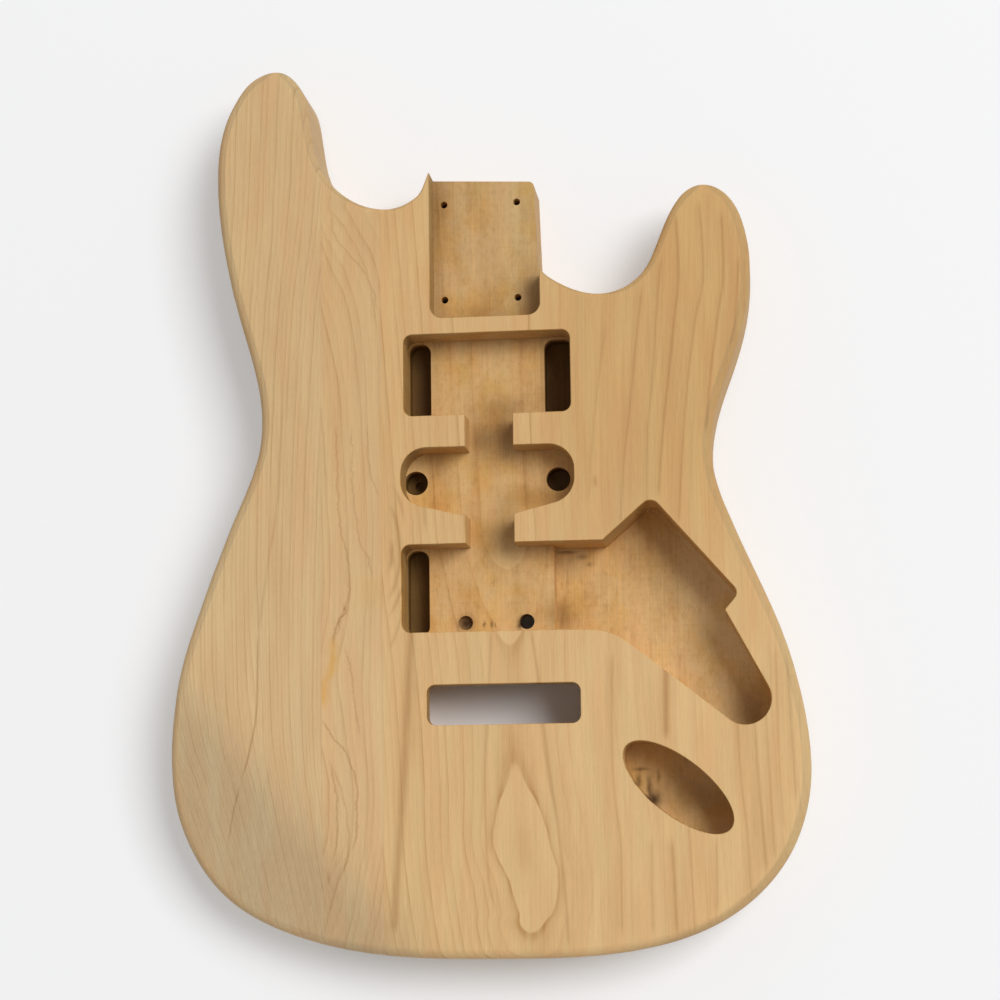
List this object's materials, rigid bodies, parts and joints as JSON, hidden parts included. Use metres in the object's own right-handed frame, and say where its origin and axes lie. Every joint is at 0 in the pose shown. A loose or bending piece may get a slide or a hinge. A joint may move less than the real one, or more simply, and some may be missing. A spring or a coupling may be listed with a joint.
{
  "type": "electric guitar body",
  "caption": "Unfinished solid electric guitar body with two cutaways, contoured edges, and routed neck pocket, pickup, control, jack and vibrato cavities.",
  "frame": {"origin": "middle of the outline's box, on the level of the flat back", "axes": "+Z out of the front, +Y along the neck axis to the neck end, +X to the treble side"},
  "size_m": [0.3226, 0.4588, 0.0445],
  "materials": {
    "bare_wood": "sanded, unfinished",
    "dried_glue": "dried wood glue"
  },
  "bodies": {
    "root": {"outer_bass_board": "bare_wood", "inner_bass_board": "bare_wood", "centre_board": "bare_wood", "treble_board": "bare_wood", "outer_glue_line": "dried_glue", "inner_glue_line": "dried_glue", "treble_glue_line": "dried_glue"}
  },
  "joints": []
}
